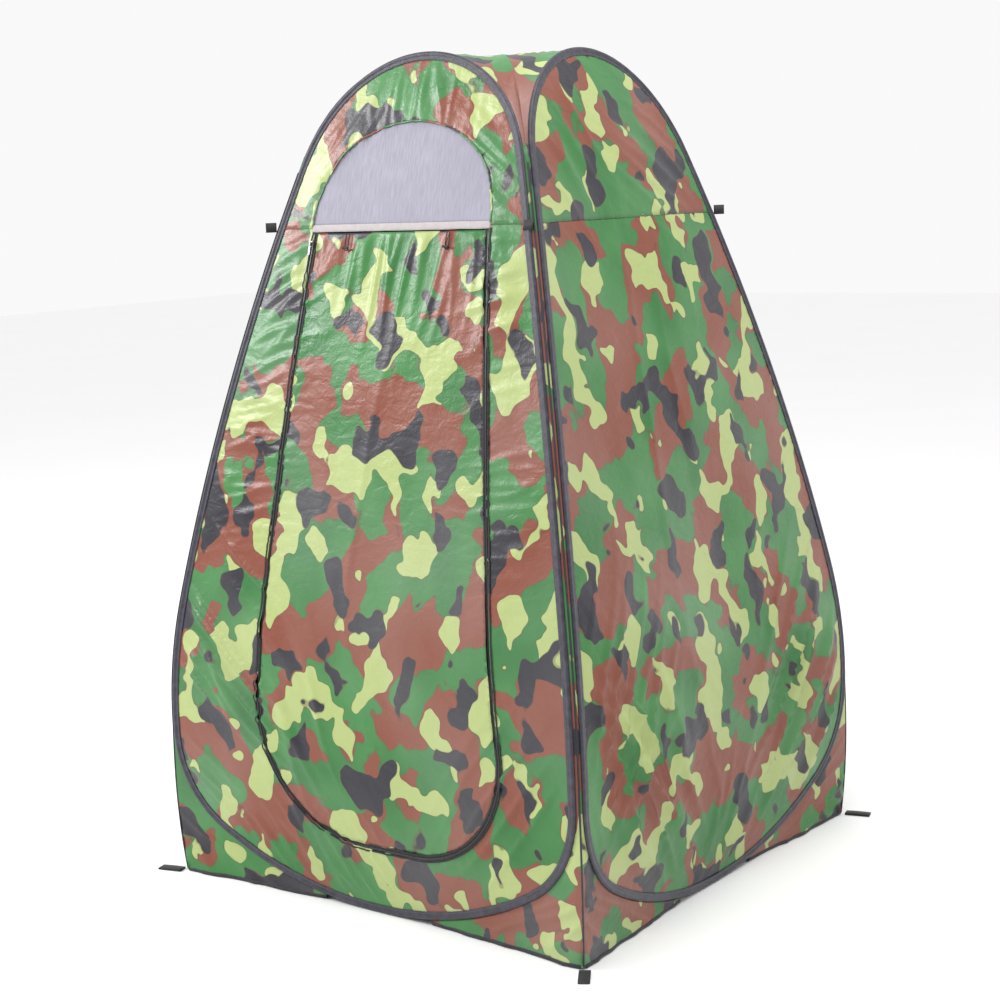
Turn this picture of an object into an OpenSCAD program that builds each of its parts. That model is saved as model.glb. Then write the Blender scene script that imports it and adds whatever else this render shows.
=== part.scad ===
// Pop-up privacy shower tent: four bowed sides, each a sprung wire hoop with cloth in it.
// The front faces -Y. The origin is on the ground, under the middle of the tent.

/* [Overall shape] */
// Height from the ground to the top of the hoops
tent_h = 1900; // [1850:10:2000]
// Distance from the middle to a side at its widest
belly_half = 590; // [570:5:600]
// Height of the widest place
belly_z = 370; // [350:10:390]
// Radius of the bow of a side near the ground
low_bow_r = 1700; // [1600:50:1900]
// Lean of a side, as a slope, where the low bow becomes the high one
lean_at_join = 0.173; // [0.16:0.001:0.18]
// Radius of the bow of a side above that
high_bow_r = 7500; // [7000:100:9000]

/* [Hoops] */
// Radius of the hoop's bottom arc
bottom_r = 900; // [850:10:950]
// Angle that the bottom arc turns through on each side
bottom_angle = 30; // [28:1:32]
// Space between a hoop and the corner of the tent
corner_gap = 10; // [8:1:14]
// Width of the hoop sleeve
sleeve_w = 22; // [20:1:26]
// Radius of the spring wire
wire_r = 1.7; // [1.5:0.1:2]

/* [Cloth] */
// Thickness of a fabric panel
cloth_t = 2; // [1.6:0.1:2.4]
// Height of the seam between the lower and upper panels
seam_z = 1525; // [1520:1:1530]
// Gap left along each seam
seam_gap = 0.5; // [0.4:0.1:0.8]

/* [Window] */
// Half the width of the window
window_half = 250; // [230:5:255]
// Height of the window above its sill
window_h = 218; // [200:2:225]
// Height of the sill band under the window
sill_h = 16; // [12:1:18]

/* [Door] */
// Distance from the middle to the left leg of the zip, at the top
door_left_top = 240; // [225:1:242]
// Distance from the middle to the right leg of the zip, at the top
door_right_top = 246; // [225:1:247]
// Radius of the door's lower left corner, and of its left side's reach
door_left_r = 296; // [290:1:300]
// Radius of the door's lower right corner
door_right_r = 250; // [245:1:255]
// How far to the right the lower right corner's centre lies
door_right_shift = 135; // [130:1:140]
// Height of the bottom of the door
door_bottom_z = 164; // [160:1:175]

/* [Zip] */
// Width of the outer zip tape
outer_tape_w = 9.2; // [8:0.1:10]
// Width of the inner zip tape
inner_tape_w = 4.6; // [4:0.1:6]
// Width of the coil chain
chain_w = 4.6; // [4:0.1:5]
// Height at which the closed zip's slider stands
slider_z = 1484; // [1480:1:1490]
// How far the slider runs down the straight leg
slider_travel = 400; // [200:10:400]

/* [Webbing] */
// Width of the webbing of the peg loops
web_w = 25; // [20:1:30]
// Length of a peg loop
peg_l = 62; // [50:1:70]
// Length of a corner tab
tab_l = 24; // [20:1:28]
// Width of a corner tab
tab_w = 22; // [18:1:26]

/* [Hidden] */
$fn = 32;

camo_green = [0.36, 0.60, 0.36];
camo_green_deep = [0.28, 0.50, 0.30];
tape_navy = [0.18, 0.17, 0.24];
tape_black = [0.10, 0.10, 0.12];
mesh_lilac = [0.78, 0.78, 0.84];
band_white = [0.93, 0.93, 0.95];
steel = [0.62, 0.62, 0.65];
zinc = [0.55, 0.55, 0.57];

// Turn of each side about Z, from the front
FRONT = 0;
RIGHT = 90;
BACK = 180;
LEFT = 270;

wire_u = 6;              // from the sleeve's outer edge in to the wire
panel_edge = 13.6;       // from the sleeve's outer edge in to the cloth's edge
sill_top = seam_z + 3;
sill_bottom = sill_top - sill_h;
door_top = sill_bottom - 1;
zip_slit = 0.3;          // half the gap between the two halves of the zip
low_steps = 5;           // rings on a hoop's side where it bows most, and above that
high_steps = 8;
big = 3000;

// ---- The bowed side, as a surface: half-depth and lean at each height ----
join_z = belly_z + low_bow_r * lean_at_join;
join_half = belly_half - pow(join_z - belly_z, 2) / (2 * low_bow_r);

// Distance from the middle of the tent to the side's surface at height z
function half_at(z) = z < join_z
    ? belly_half - pow(z - belly_z, 2) / (2 * low_bow_r)
    : join_half - lean_at_join * (z - join_z) - pow(z - join_z, 2) / (2 * high_bow_r);

// Slope of the side at height z, positive where it leans in going up
function lean_at(z) = z < join_z
    ? (z - belly_z) / low_bow_r
    : lean_at_join + (z - join_z) / high_bow_r;

// A point of the front side at (x, z), v outside its middle surface
function on_side(x, z, v) = let (lean = lean_at(z), n = sqrt(1 + lean * lean))
    [x, -half_at(z) - v / n, z + v * lean / n];

// ---- The hoop's outline, seen from the front, d inside its outer edge ----
rest_z = 0.7;            // lifts the hoop so that its leaning sleeve just meets the ground
flat_angle = 1.4;        // half the angle of the straight length at the bottom, in the ferrule
corner_r = (belly_half - corner_gap - bottom_r * sin(bottom_angle)) / (1 - sin(bottom_angle));
corner_x = (bottom_r - corner_r) * sin(bottom_angle);
corner_z = rest_z + bottom_r - (bottom_r - corner_r) * cos(bottom_angle);

function top_r_from(z) = (half_at(z) - corner_gap) / cos(atan(lean_at(z)));
function settle_top(z, rounds) = rounds == 0
    ? z
    : settle_top(tent_h - top_r_from(z) * (1 - sin(atan(lean_at(z)))), rounds - 1);
top_join_z = settle_top(tent_h - 240, 20);
top_r = top_r_from(top_join_z);
top_join_angle = atan(lean_at(top_join_z));

side_heights = concat(
    [for (i = [1:low_steps]) corner_z + (join_z - corner_z) * i / low_steps],
    [for (i = [1:high_steps - 1]) join_z + (top_join_z - join_z) * i / high_steps]
);

function right_half(d) = concat(
    [for (i = [0:6]) let (a = flat_angle + (bottom_angle - flat_angle) * i / 6)
        [(bottom_r - d) * sin(a), rest_z + bottom_r - (bottom_r - d) * cos(a)]],
    [for (i = [1:8]) let (a = bottom_angle + (90 - bottom_angle) * i / 8)
        [corner_x + (corner_r - d) * sin(a), corner_z - (corner_r - d) * cos(a)]],
    [for (z = side_heights) [half_at(z) - corner_gap - d, z]],
    [for (i = [0:9]) let (a = top_join_angle + (90 - top_join_angle) * i / 9)
        [(top_r - d) * cos(a), tent_h - top_r + (top_r - d) * sin(a)]]
);
function outline(d) = let (half = right_half(d), last = len(half) - 1)
    concat(half, [for (i = [last - 1:-1:0]) [-half[i][0], half[i][1]]]);

// The hoop's half-width at height z, for the cloth outside it
function hoop_half(z) = let (bottom = z - rest_z)
    bottom < bottom_r * (1 - cos(bottom_angle))
        ? sqrt(max(0, bottom * (2 * bottom_r - bottom)))
    : z < corner_z ? corner_x + sqrt(corner_r * corner_r - pow(corner_z - z, 2))
    : z < top_join_z ? half_at(z) - corner_gap
    : sqrt(top_r * top_r - pow(z - tent_h + top_r, 2));

// ---- Solids swept and extruded from those ----
sheet_flip = [false, false, true, false];
sheet_caps = [[0, 1, 2, 3]];
corner_sheet_flip = [false, true, false, false, true, false];
corner_sheet_caps = [[0, 1, 4, 5], [1, 2, 3, 4]];

// A closed loop of rings, each a list of points
module loop_solid(rings) {
    count = len(rings);
    sides = len(rings[0]);
    polyhedron(
        points = [for (ring = rings) each ring],
        faces = [for (i = [0:count - 1]) for (j = [0:sides - 1])
            let (k = (i + 1) % count, m = (j + 1) % sides)
            each [
                [i * sides + j, i * sides + m, k * sides + m],
                [i * sides + j, k * sides + m, k * sides + j]
            ]]
    );
}

// A row of rings with flat caps on each end. Each strip of faces is cut along one diagonal,
// and flip takes the other one, so that the two sides of a thin twisted sheet match.
module row_solid(rings, flip, caps) {
    count = len(rings);
    sides = len(rings[0]);
    polyhedron(
        points = [for (ring = rings) each ring],
        faces = concat(
            [for (i = [0:count - 2]) for (j = [0:sides - 1])
                let (
                    m = (j + 1) % sides,
                    low = [i * sides + j, i * sides + m],
                    high = [(i + 1) * sides + j, (i + 1) * sides + m]
                )
                each flip[j]
                    ? [[low[0], low[1], high[0]], [low[1], high[1], high[0]]]
                    : [[low[0], low[1], high[1]], [low[0], high[1], high[0]]]],
            [for (cap = caps) [for (k = [len(cap) - 1:-1:0]) cap[k]]],
            [for (cap = caps) [for (j = cap) (count - 1) * sides + j]]
        )
    );
}

// A section of points [inward from the hoop's outer edge, outward from the side], run round the hoop
module round_hoop(section) {
    lines = [for (s = section) outline(s[0])];
    loop_solid([for (i = [0:len(lines[0]) - 1])
        [for (j = [0:len(section) - 1])
            on_side(lines[j][i][0], lines[j][i][1], section[j][1])]]);
}

// The bowed sheet between v0 and v1 outside the side's middle surface
module side_sheet(v0, v1) {
    heights = concat([for (i = [-1:11]) join_z * i / 11], [for (i = [1:11]) join_z + 120 * i]);
    edge = concat(
        [for (z = heights) on_side(0, z, v0)],
        [for (i = [len(heights) - 1:-1:0]) on_side(0, heights[i], v1)]
    );
    rotate([90, 0, 90])
        linear_extrude(big, center = true)
            polygon([for (p = edge) [p[1], p[2]]]);
}

// The part of that sheet inside a shape drawn in the front view
module sheet_piece(v0, v1) {
    intersection() {
        side_sheet(v0, v1);
        rotate([90, 0, 0])
            linear_extrude(big)
                children();
    }
}

module panel_shape() polygon(outline(panel_edge));
module below(z) translate([-big / 2, z - big]) square(big);
module above(z) translate([-big / 2, z]) square(big);

// ---- Outlines on the front ----

// Half-round window, shrunk by d
module window_shape(d) {
    half = window_half - d;
    high = window_h - d;
    steps = 36;
    polygon([for (i = [0:steps]) let (a = 180 * i / steps)
        [half * cos(a), sill_top + d + (high - d) * pow(sin(a), 0.92)]]);
}

module sill_shape(d) {
    translate([-window_half - 2 - d, sill_bottom - d])
        square([2 * (window_half + 2 + d), sill_h + 2 * d]);
}

// U-shaped line of the zip, grown by d
function door_line(d) = concat(
    [[-door_left_top - d, sill_bottom]],
    [for (i = [0:14]) let (a = 180 + 90 * i / 14)
        [(door_left_r + d) * cos(a),
         door_bottom_z + door_left_r + (door_left_r + d) * sin(a)]],
    [for (i = [0:14]) let (a = 270 + 90 * i / 14)
        [door_right_shift + (door_right_r + d) * cos(a),
         door_bottom_z + door_right_r + (door_right_r + d) * sin(a)]],
    [[door_right_top + d, sill_bottom]]
);
module door_shape(d) polygon(door_line(d));

// The strip between two such lines
module zip_strip(inner, outer, top) {
    intersection() {
        difference() {
            door_shape(outer);
            door_shape(inner);
        }
        below(top);
    }
}

// ---- Frame of a small part that stands on the front side at (x, z) ----
module on_front(x, z, v) {
    translate(on_side(x, z, v))
        rotate([-atan(lean_at(z)), 0, 0])
            children();
}

// ---- Pieces of every side ----
module hoop_wire(turn) {
    color(steel)
        rotate([0, 0, turn])
            round_hoop([for (i = [0:5]) let (a = -60 * i)
                [wire_u + wire_r * cos(a), wire_r * sin(a)]]);
}

// Crimped tube over the joint of the wire's ends, at the bottom of the hoop
module wire_ferrule(turn) {
    length = 40;
    color(zinc)
        rotate([0, 0, turn])
            translate(on_side(0, rest_z + bottom_r * (1 - cos(flat_angle)) + wire_u, 0))
                rotate([0, 90, 0])
                    difference() {
                        cylinder(h = length, r = 3, center = true);
                        cylinder(h = length + 2, r = wire_r + 0.4, center = true);
                    }
}

// Tape folded over the wire, whose two legs hold the cloth between them
module hoop_sleeve(turn) {
    bulge = 4.4;
    room = 3.5;
    leg_out = 2.3;
    leg_in = 1.5;
    half = [
        [0, bulge], [9.6, bulge], [13, leg_out], [sleeve_w, leg_out],
        [sleeve_w, leg_in], [12.6, leg_in], [9.4, room], [1, room]
    ];
    section = concat(half, [for (i = [len(half) - 1:-1:0]) [half[i][0], -half[i][1]]]);
    color(tape_navy)
        rotate([0, 0, turn])
            round_hoop(section);
}

module upper_panel(turn) {
    color(camo_green)
        rotate([0, 0, turn])
            sheet_piece(-cloth_t / 2, cloth_t / 2)
                intersection() {
                    panel_shape();
                    above(seam_z + seam_gap);
                }
}

module lower_panel(turn) {
    color(camo_green)
        rotate([0, 0, turn])
            sheet_piece(-cloth_t / 2, cloth_t / 2)
                intersection() {
                    panel_shape();
                    below(seam_z - seam_gap);
                }
}

// One side's share of the roof, from its hoop in to the tent's two diagonals
roof_top = tent_h - 7;
roof_drop = roof_top - top_join_z;
roof_reach = top_r * cos(top_join_angle);
function roof_z(x) = roof_top - roof_drop * pow(min(1, abs(x) / roof_reach), 4.5);
module roof_gore(turn) {
    steps = 26;
    clear = 6;
    edge = 0.6;
    reach = roof_reach - 12;
    color(camo_green_deep)
        rotate([0, 0, turn])
            row_solid([for (i = [0:steps])
                let (
                    x = reach * sin(90 * (2 * i / steps - 1)),
                    hoop_z = tent_h - top_r + sqrt(pow(top_r - 3, 2) - x * x),
                    hoop_y = -half_at(hoop_z) + clear,
                    mid_y = max(-abs(x) - edge, hoop_y + 2),
                    mid_z = min(roof_z(x), hoop_z + 60)
                )
                [
                    [x, hoop_y, hoop_z], [x, mid_y, mid_z],
                    [x, mid_y, mid_z - cloth_t], [x, hoop_y, hoop_z - cloth_t]
                ]], sheet_flip, sheet_caps);
}

// ---- Pieces of every corner, drawn at the front right one ----
flare = 31;              // how far the ground corner stands out from the side's surface
gusset_clear = 1.2;
gusset_low = 13;         // height below which the gusset's end stays clear of the hoop
gusset_top = 1684;
gusset_levels = concat(
    [gusset_top, gusset_top - 18],
    [for (z = [1540:-140:700]) z],
    [for (z = [640:-60:400]) z],
    [for (z = [350:-25:50]) z],
    [30, 20, 10, 0.4]
);

// Half-depth of the corner seam: the side's surface, flared near the ground
function seam_half(z) = half_at(z) - 3
    + (z < belly_z ? flare * pow(1 - z / belly_z, 1.5) : 0);

function gusset_start(z) = hoop_half(max(z, gusset_low) + 1.5) + gusset_clear;

// Half a level: from the front hoop round to the corner seam, and back inside
function half_level(z, out) = let (x = gusset_start(z), y = half_at(z) - 1, c = seam_half(z)) [
    [x, -y - out, z], [c + out, -c - out, z],
    [c + out - cloth_t, -c - out + cloth_t, z], [x, -y - out + cloth_t, z]
];

// The other half of the corner is the mirror image in the corner's diagonal
function mirrored(p) = [-p[1], -p[0], p[2]];
function whole_level(z, out) = let (h = half_level(z, out))
    [h[0], h[1], mirrored(h[0]), mirrored(h[3]), h[2], h[3]];

// A half whose cut edge stands back from the seam by a little
function cut_level(z, out) = let (h = half_level(z, out), back = 0.4)
    [h[0], h[1] - [back, 0, 0], h[2] - [back, 0, 0], h[3]];

tape_levels = [14, 7, 0.4];
tape_out = 1.2 + cloth_t;
peg_corner = seam_half(0) + 9;

module gusset(turn) {
    color(camo_green)
        rotate([0, 0, turn])
            row_solid([for (z = gusset_levels) whole_level(z, 0)], corner_sheet_flip, corner_sheet_caps);
}

module hem_tape(turn) {
    color(tape_black)
        rotate([0, 0, turn])
            row_solid([for (z = tape_levels) whole_level(z, tape_out)],
                corner_sheet_flip, corner_sheet_caps);
}

// The back left corner, where the ring of sides opens, has its gusset and hem in two halves
module gusset_half(turn) {
    color(camo_green)
        rotate([0, 0, turn])
            row_solid([for (z = gusset_levels) cut_level(z, 0)], sheet_flip, sheet_caps);
}

module hem_half(turn) {
    color(tape_black)
        rotate([0, 0, turn])
            row_solid([for (z = tape_levels) cut_level(z, tape_out)], sheet_flip, sheet_caps);
}

// Moves what is drawn at a side's right end to its left end
module at_left_end(turn) {
    rotate([0, 0, turn])
        mirror([1, 0, 0])
            children();
}

// Folded webbing strap that lies on the ground and points out from the corner at (x, y)
module peg_loop(x, y, yaw) {
    strap_t = 1.4;
    color(tape_black)
        translate([x * peg_corner, y * peg_corner, 0])
            rotate([0, 0, yaw])
                translate([0, -web_w / 2, 0])
                    difference() {
                        union() {
                            cube([peg_l - 2 * strap_t, web_w, 3 * strap_t]);
                            translate([peg_l - 2 * strap_t, 0, 1.5 * strap_t])
                                rotate([-90, 0, 0])
                                    cylinder(h = web_w, r = 1.5 * strap_t);
                        }
                        translate([-1, -1, strap_t])
                            cube([peg_l * 0.7, web_w + 2, strap_t]);
                    }
}

// Short folded tab of webbing sewn into the corner at the height of the seam
module corner_tab_out(turn) {
    tab_t = 2.8;
    c = seam_half(seam_z - tab_w / 2) + 1.4;
    color(tape_black)
        rotate([0, 0, turn])
            translate([c, -c, seam_z])
                rotate([0, 0, -45])
                    translate([0, -tab_t / 2, -tab_w / 2])
                        cube([tab_l, tab_t, tab_w]);
}

// The same tab where it has flopped over onto the hoop
module corner_tab_flopped(turn) {
    tab_t = 2.8;
    x = half_at(seam_z) - corner_gap;
    color(tape_black)
        rotate([0, 0, turn])
            on_front(x + corner_gap, seam_z - 8, 5 + tab_t / 2)
                translate([-tab_l, -tab_t / 2, -tab_w / 2])
                    cube([tab_l, tab_t, tab_w]);
}

// ---- Pieces of the front only ----
module front_upper_panel() {
    color(camo_green)
        sheet_piece(-cloth_t / 2, cloth_t / 2)
            difference() {
                intersection() {
                    panel_shape();
                    above(seam_z + seam_gap);
                }
                window_shape(0);
                sill_shape(seam_gap);
            }
}

module front_lower_panel() {
    color(camo_green)
        sheet_piece(-cloth_t / 2, cloth_t / 2)
            difference() {
                intersection() {
                    panel_shape();
                    below(seam_z - seam_gap);
                }
                sill_shape(seam_gap);
                door_shape(zip_slit + outer_tape_w + 0.4);
            }
}

module window_mesh() {
    color(mesh_lilac)
        sheet_piece(-0.6, 0.6)
            window_shape(0.5);
}

module window_sill_band() {
    color(band_white)
        sheet_piece(-1.2, 1.6)
            sill_shape(0);
}

module zip_outer_tape() {
    color(tape_black)
        sheet_piece(-0.6, 0.6)
            zip_strip(zip_slit, zip_slit + outer_tape_w, sill_bottom - seam_gap);
}

chain_mid = zip_slit + 1.3 + chain_w / 2;
module zip_chain() {
    color(tape_black)
        sheet_piece(0.65, 2.2)
            zip_strip(chain_mid - chain_w / 2, chain_mid + chain_w / 2, sill_bottom - 6);
}

module door_panel() {
    color(camo_green)
        sheet_piece(-cloth_t / 2, cloth_t / 2)
            intersection() {
                door_shape(-zip_slit - inner_tape_w - 0.4);
                below(door_top);
            }
}

module zip_inner_tape() {
    color(tape_black)
        sheet_piece(-0.6, 0.6)
            zip_strip(-zip_slit - inner_tape_w, -zip_slit, door_top);
}

// The slider runs along a straight line, which the bowed side bulges towards half way down
leg_slope = (door_left_r - door_left_top) / (sill_bottom - door_bottom_z - door_left_r);
slider_bulge = slider_travel * slider_travel / (8 * high_bow_r);
slider_v = 2.2 + slider_bulge + 0.7;
slider_x = -door_left_top - leg_slope * (sill_bottom - slider_z) - chain_mid;
pin_v = 6.2;
pin_up = 2;
pin_r = 1;

module zip_slider() {
    plate_t = 1.6;
    color(zinc)
        on_front(slider_x, slider_z, slider_v)
            rotate([90, 0, 0]) {
                // body: two plates and the diamond between them
                linear_extrude(plate_t)
                    slider_outline();
                translate([0, 0, plate_t])
                    linear_extrude(0.8)
                        translate([-2.6, -5])
                            square([5.2, 10]);
                translate([0, 0, plate_t + 0.8])
                    linear_extrude(plate_t)
                        slider_outline();
                // bridge that holds the pull's pin
                difference() {
                    translate([-1.5, -4.4, 2 * plate_t + 0.8])
                        cube([3, 9, 4]);
                    translate([-3, pin_up, pin_v])
                        rotate([0, 90, 0])
                            cylinder(h = 6, r = pin_r + 0.15);
                }
            }
}

module slider_outline() {
    polygon([[-3.9, 7], [-2.4, -7], [2.4, -7], [3.9, 7]]);
}

// Tab that hangs from the slider's bridge on its own pin
module zip_pull() {
    arm = 6;
    tab_t = 1.6;
    half = 2.6;
    color(zinc)
        on_front(slider_x, slider_z, slider_v)
            rotate([90, 0, 0])
                translate([0, pin_up, pin_v]) {
                    translate([-half, 0, 0])
                        rotate([0, 90, 0])
                            cylinder(h = 2 * half, r = pin_r);
                    for (side = [-1, 1])
                        translate([side * 2.15 - 0.45, -arm - 4, -tab_t / 2])
                            cube([0.9, arm + 5, tab_t]);
                    difference() {
                        union() {
                            translate([-half, -26, -tab_t / 2])
                                cube([2 * half, 18, tab_t]);
                            translate([0, -26, -tab_t / 2])
                                cylinder(h = tab_t, r = half);
                        }
                        translate([0, -26, -tab_t])
                            cylinder(h = 3 * tab_t, r = 1.2);
                    }
                }
}

// Roll-up ties: an elastic loop hung from the top of the door, and the toggle bar on it
tie_left_x = -141;
tie_right_x = 145;
tie_z = door_top - 6;
tie_v = 4.8;
tie_l = 40;
tie_w = 12;

module on_tie(x) {
    on_front(x, tie_z, tie_v)
        rotate([90, 0, 0])
            children();
}

module racetrack(length, width) {
    translate([-width / 2, -length + width / 2])
        square([width, length - width]);
    for (y = [-width / 2 + 0, -length + width / 2])
        translate([0, y])
            circle(d = width);
}

module tie_loop(x) {
    cord_t = 2.4;
    color(tape_black)
        on_tie(x)
            translate([0, 2.4, -cord_t / 2])
                linear_extrude(cord_t)
                    difference() {
                        racetrack(tie_l, tie_w);
                        translate([0, -cord_t])
                            racetrack(tie_l - 2 * cord_t, tie_w - 2 * cord_t);
                    }
}

module tie_toggle(x) {
    bar_l = 18;
    color(tape_black)
        on_tie(x)
            translate([-bar_l / 2, -tie_l + 8, 1.3 + 2.6])
                rotate([0, 90, 0])
                    difference() {
                        cylinder(h = bar_l, r = 2.6);
                        translate([0, 0, -1])
                            cylinder(h = bar_l + 2, r = 0.9);
                    }
}

hoop_wire(FRONT);  // front_hoop_wire
wire_ferrule(FRONT);  // front_wire_ferrule
hoop_sleeve(FRONT);  // front_hoop_sleeve
front_upper_panel();
front_lower_panel();
roof_gore(FRONT);  // front_roof_gore
window_mesh();
window_sill_band();
zip_outer_tape();
zip_chain();
zip_slider();
zip_pull();
door_panel();
zip_inner_tape();
tie_loop(tie_left_x);  // tie_loop_left
tie_loop(tie_right_x);  // tie_loop_right
tie_toggle(tie_left_x);  // tie_toggle_left
tie_toggle(tie_right_x);  // tie_toggle_right
hoop_wire(RIGHT);  // right_hoop_wire
wire_ferrule(RIGHT);  // right_wire_ferrule
hoop_sleeve(RIGHT);  // right_hoop_sleeve
upper_panel(RIGHT);  // right_upper_panel
lower_panel(RIGHT);  // right_lower_panel
roof_gore(RIGHT);  // right_roof_gore
hoop_wire(BACK);  // back_hoop_wire
wire_ferrule(BACK);  // back_wire_ferrule
hoop_sleeve(BACK);  // back_hoop_sleeve
upper_panel(BACK);  // back_upper_panel
lower_panel(BACK);  // back_lower_panel
roof_gore(BACK);  // back_roof_gore
hoop_wire(LEFT);  // left_hoop_wire
wire_ferrule(LEFT);  // left_wire_ferrule
hoop_sleeve(LEFT);  // left_hoop_sleeve
upper_panel(LEFT);  // left_upper_panel
lower_panel(LEFT);  // left_lower_panel
roof_gore(LEFT);  // left_roof_gore
gusset(FRONT);  // gusset_front_right
gusset(RIGHT);  // gusset_back_right
gusset_half(BACK);  // gusset_back_left_half_on_back
at_left_end(LEFT) gusset_half(FRONT);  // gusset_back_left_half_on_left
gusset(LEFT);  // gusset_front_left
hem_tape(FRONT);  // hem_front_right
hem_tape(RIGHT);  // hem_back_right
hem_half(BACK);  // hem_back_left_half_on_back
at_left_end(LEFT) hem_half(FRONT);  // hem_back_left_half_on_left
hem_tape(LEFT);  // hem_front_left
peg_loop(1, -1, -58);  // peg_loop_front_right
peg_loop(1, 1, 15);  // peg_loop_back_right
peg_loop(-1, 1, 122);  // peg_loop_back_left
peg_loop(-1, -1, 195);  // peg_loop_front_left
corner_tab_flopped(FRONT);  // corner_tab_front_right
corner_tab_out(RIGHT);  // corner_tab_back_right
corner_tab_flopped(BACK);  // corner_tab_back_left
corner_tab_out(LEFT);  // corner_tab_front_left
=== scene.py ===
"""Looks of the pop-up privacy shower tent: camouflage cloth in dark sleeves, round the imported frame."""
from math import atan, cos, exp, hypot, pi, radians, sin, sqrt

import bpy
import numpy as np
from mathutils import Matrix, Vector, kdtree, noise
from mathutils.geometry import delaunay_2d_cdt


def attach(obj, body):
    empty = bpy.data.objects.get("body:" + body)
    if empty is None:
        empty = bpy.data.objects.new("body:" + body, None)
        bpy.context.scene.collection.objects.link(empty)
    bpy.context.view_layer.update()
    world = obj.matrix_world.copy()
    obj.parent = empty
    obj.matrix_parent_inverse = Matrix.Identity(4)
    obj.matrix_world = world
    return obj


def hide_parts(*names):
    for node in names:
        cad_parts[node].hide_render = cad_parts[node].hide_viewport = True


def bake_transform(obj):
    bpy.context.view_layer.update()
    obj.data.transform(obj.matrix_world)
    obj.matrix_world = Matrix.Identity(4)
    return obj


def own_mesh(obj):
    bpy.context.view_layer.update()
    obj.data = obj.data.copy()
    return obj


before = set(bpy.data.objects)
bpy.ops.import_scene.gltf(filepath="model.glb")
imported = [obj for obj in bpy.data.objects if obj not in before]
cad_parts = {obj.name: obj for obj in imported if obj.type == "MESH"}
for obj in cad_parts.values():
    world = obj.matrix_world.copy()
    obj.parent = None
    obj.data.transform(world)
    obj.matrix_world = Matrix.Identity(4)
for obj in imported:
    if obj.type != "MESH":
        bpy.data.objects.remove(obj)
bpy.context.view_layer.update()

# ---- The tent's shape, in metres, as part.scad has it ----
TENT_H = 1.9
BELLY_HALF, BELLY_Z = 0.590, 0.370
LOW_BOW_R, HIGH_BOW_R, LEAN = 1.7, 7.5, 0.173
BOTTOM_R, BOTTOM_ANGLE = 0.900, radians(30)
CORNER_GAP, REST_Z = 0.010, 0.0007
SEAM_Z = 1.525
SILL_TOP, SILL_BOTTOM = 1.528, 1.512
WINDOW_HALF, WINDOW_H = 0.250, 0.218
DOOR_LEFT_TOP, DOOR_RIGHT_TOP = 0.240, 0.246
DOOR_LEFT_R, DOOR_RIGHT_R, DOOR_SHIFT, DOOR_BOTTOM = 0.296, 0.250, 0.135, 0.164
CHAIN_MID, CHAIN_HALF = 0.0039, 0.0023
TIE_XS, TIE_Z, TIE_OUT = {"left": -0.141, "right": 0.145}, 1.505, 0.0048
ROOF_TOP = TENT_H - 0.007
CLOTH_EDGE = 0.0136  # from the hoop's outer edge in to the edge of the cloth
SEAM_LAP = 0.005  # how far the upper cloth hangs over the lower
CLOTH_T = 0.0005
STEP = 0.006  # spacing of the points along an edge of cloth
BELOW, ABOVE = -1, 3     # heights under and over the whole tent

JOIN_Z = BELLY_Z + LOW_BOW_R * LEAN
JOIN_HALF = BELLY_HALF - (JOIN_Z - BELLY_Z) ** 2 / (2 * LOW_BOW_R)
SIDES = {"front": 0.0, "right": 0.5 * pi, "back": pi, "left": 1.5 * pi}
BODIES = {side: side + "_side" for side in SIDES}


def half_at(z):
    """Distance from the tent's middle to a side's surface at height z."""
    if z < JOIN_Z:
        return BELLY_HALF - (z - BELLY_Z) ** 2 / (2 * LOW_BOW_R)
    return JOIN_HALF - LEAN * (z - JOIN_Z) - (z - JOIN_Z) ** 2 / (2 * HIGH_BOW_R)


def lean_at(z):
    """Slope of a side at height z, positive where it leans in going up."""
    return (z - BELLY_Z) / LOW_BOW_R if z < JOIN_Z else LEAN + (z - JOIN_Z) / HIGH_BOW_R


def on_front(x, z, out=0.0):
    """The point (x, z) of the front, out metres outside its middle surface."""
    lean = lean_at(z)
    n = hypot(1, lean)
    return Vector((x, -half_at(z) - out / n, z + out * lean / n))


def on_side(side, x, z, out=0.0):
    return Matrix.Rotation(SIDES[side], 3, "Z") @ on_front(x, z, out)


BOTTOM_SIN = sin(BOTTOM_ANGLE)
CORNER_R = (BELLY_HALF - CORNER_GAP - BOTTOM_R * BOTTOM_SIN) / (1 - BOTTOM_SIN)
CORNER_X = (BOTTOM_R - CORNER_R) * BOTTOM_SIN
CORNER_Z = REST_Z + BOTTOM_R - (BOTTOM_R - CORNER_R) * cos(BOTTOM_ANGLE)


def settled_top():
    """Height, radius and lean where the hoop's straight-ish side meets its top arc."""
    z = TENT_H - 0.24
    for _ in range(20):
        lean = atan(lean_at(z))
        radius = (half_at(z) - CORNER_GAP) / cos(lean)
        z = TENT_H - radius * (1 - sin(lean))
    return z, radius, lean


TOP_JOIN_Z, TOP_R, TOP_LEAN = settled_top()
TOP_CENTRE_Z = TENT_H - TOP_R


def arc(x, z, radius, start, end, step, inset=0.0):
    """Points from angle start to end, in radians from straight down, inset inside the radius."""
    count = max(2, round(abs(end - start) * radius / step))
    angles = [start + (end - start) * i / count for i in range(count + 1)]
    return [(x + (radius - inset) * sin(a), z - (radius - inset) * cos(a)) for a in angles]


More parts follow.
